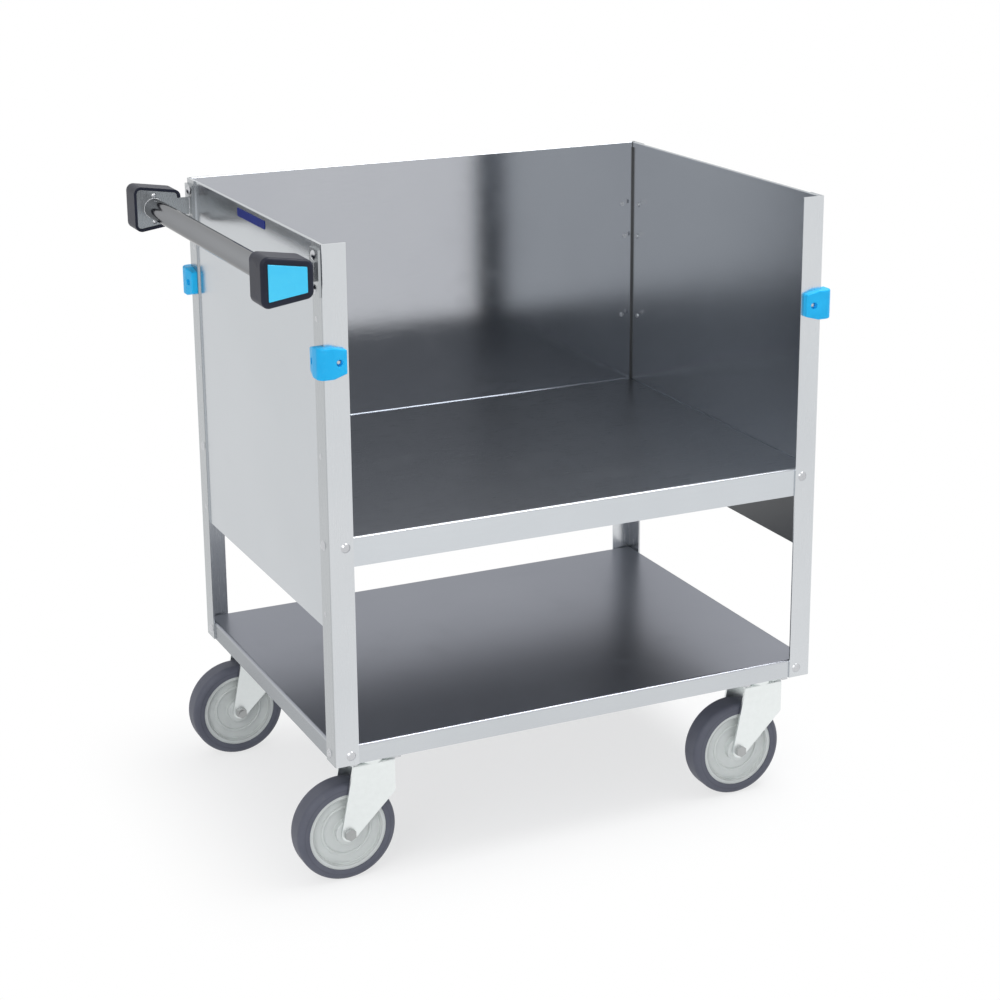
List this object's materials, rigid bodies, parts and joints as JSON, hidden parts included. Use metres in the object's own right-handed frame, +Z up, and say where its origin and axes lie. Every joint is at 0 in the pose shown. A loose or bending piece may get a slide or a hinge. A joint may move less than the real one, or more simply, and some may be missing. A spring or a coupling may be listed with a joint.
{
  "type": "dish truck",
  "caption": "Low stainless dish truck on swivel casters: a panelled upper shelf open at the front and top, an open lower tray shelf, corner bumpers and a push handle with moulded end caps.",
  "frame": {"origin": "on the floor under the middle of the overall box, between the wheels", "axes": "+Z up; -X to the end with the push handle; -Y to the open front, through which the shelves are loaded"},
  "size_m": [0.7466, 0.53, 0.793],
  "materials": {
    "stainless_post": "satin brushed stainless sheet",
    "stainless_shelf": "brushed stainless sheet, grain along the length",
    "stainless_panel": "brushed stainless sheet",
    "stainless_channel": "mill finish stainless sheet",
    "stainless_tube": "polished stainless tube",
    "steel_fastener": "bright plated steel",
    "blue_bumper": "semi-gloss moulded blue",
    "black_cap": "satin moulded black",
    "blue_insert": "semi-gloss moulded light blue",
    "zinc_caster": "bright zinc-plated pressed steel",
    "grey_wheel": "moulded light grey, satin",
    "grey_tyre": "matt non-marking grey rubber"
  },
  "bodies": {
    "frame": {"front_left_post": "stainless_post", "front_right_post": "stainless_post", "rear_left_post": "stainless_post", "rear_right_post": "stainless_post", "upper_shelf": "stainless_shelf", "lower_shelf": "stainless_shelf", "back_panel": "stainless_panel", "left_end_panel": "stainless_panel", "right_end_panel": "stainless_panel", "upper_shelf_stiffeners": "stainless_channel", "caster_channels": "stainless_channel", "front_left_leg_bumper": "blue_bumper", "front_right_leg_bumper": "blue_bumper", "rear_left_leg_bumper": "blue_bumper", "rear_right_leg_bumper": "blue_bumper", "leg_bumper_screws": "steel_fastener", "handle_tube": "stainless_tube", "front_handle_arm": "stainless_post", "front_handle_cap": "black_cap", "front_handle_insert": "blue_insert", "rear_handle_arm": "stainless_post", "rear_handle_cap": "black_cap", "rear_handle_insert": "blue_insert", "handle_bolts": "steel_fastener", "handle_cap_screws": "steel_fastener", "shelf_bolts": "steel_fastener", "panel_rivets": "steel_fastener", "caster_plate_bolts": "steel_fastener", "front_left_caster_plate": "zinc_caster", "front_left_kingpin": "steel_fastener", "front_right_caster_plate": "zinc_caster", "front_right_kingpin": "steel_fastener", "rear_left_caster_plate": "zinc_caster", "rear_left_kingpin": "steel_fastener", "rear_right_caster_plate": "zinc_caster", "rear_right_kingpin": "steel_fastener"},
    "front_left_swivel": {"front_left_swivel_balls": "steel_fastener", "front_left_fork": "zinc_caster", "front_left_axle": "steel_fastener", "front_left_axle_sleeve": "steel_fastener"},
    "front_left_wheel": {"front_left_wheel_core": "grey_wheel", "front_left_tyre": "grey_tyre"},
    "front_right_swivel": {"front_right_swivel_balls": "steel_fastener", "front_right_fork": "zinc_caster", "front_right_axle": "steel_fastener", "front_right_axle_sleeve": "steel_fastener"},
    "front_right_wheel": {"front_right_wheel_core": "grey_wheel", "front_right_tyre": "grey_tyre"},
    "rear_left_swivel": {"rear_left_swivel_balls": "steel_fastener", "rear_left_fork": "zinc_caster", "rear_left_axle": "steel_fastener", "rear_left_axle_sleeve": "steel_fastener"},
    "rear_left_wheel": {"rear_left_wheel_core": "grey_wheel", "rear_left_tyre": "grey_tyre"},
    "rear_right_swivel": {"rear_right_swivel_balls": "steel_fastener", "rear_right_fork": "zinc_caster", "rear_right_axle": "steel_fastener", "rear_right_axle_sleeve": "steel_fastener"},
    "rear_right_wheel": {"rear_right_wheel_core": "grey_wheel", "rear_right_tyre": "grey_tyre"}
  },
  "joints": [
    {"name": "front_left_caster_swivel", "type": "hinge", "parent": "frame", "child": "front_left_swivel", "pos_m": [-0.24025, -0.204, 0.1545], "axis": [0, 0, 1], "continuous": true},
    {"name": "front_left_wheel_spin", "type": "hinge", "parent": "front_left_swivel", "child": "front_left_wheel", "pos_m": [-0.27425, -0.204, 0.0635], "axis": [0, 1, 0], "continuous": true},
    {"name": "front_right_caster_swivel", "type": "hinge", "parent": "frame", "child": "front_right_swivel", "pos_m": [0.30675, -0.204, 0.1545], "axis": [0, 0, 1], "continuous": true},
    {"name": "front_right_wheel_spin", "type": "hinge", "parent": "front_right_swivel", "child": "front_right_wheel", "pos_m": [0.27275, -0.204, 0.0635], "axis": [0, 1, 0], "continuous": true},
    {"name": "rear_left_caster_swivel", "type": "hinge", "parent": "frame", "child": "rear_left_swivel", "pos_m": [-0.24025, 0.204, 0.1545], "axis": [0, 0, 1], "continuous": true},
    {"name": "rear_left_wheel_spin", "type": "hinge", "parent": "rear_left_swivel", "child": "rear_left_wheel", "pos_m": [-0.27425, 0.204, 0.0635], "axis": [0, 1, 0], "continuous": true},
    {"name": "rear_right_caster_swivel", "type": "hinge", "parent": "frame", "child": "rear_right_swivel", "pos_m": [0.30675, 0.204, 0.1545], "axis": [0, 0, 1], "continuous": true},
    {"name": "rear_right_wheel_spin", "type": "hinge", "parent": "rear_right_swivel", "child": "rear_right_wheel", "pos_m": [0.27275, 0.204, 0.0635], "axis": [0, 1, 0], "continuous": true}
  ]
}
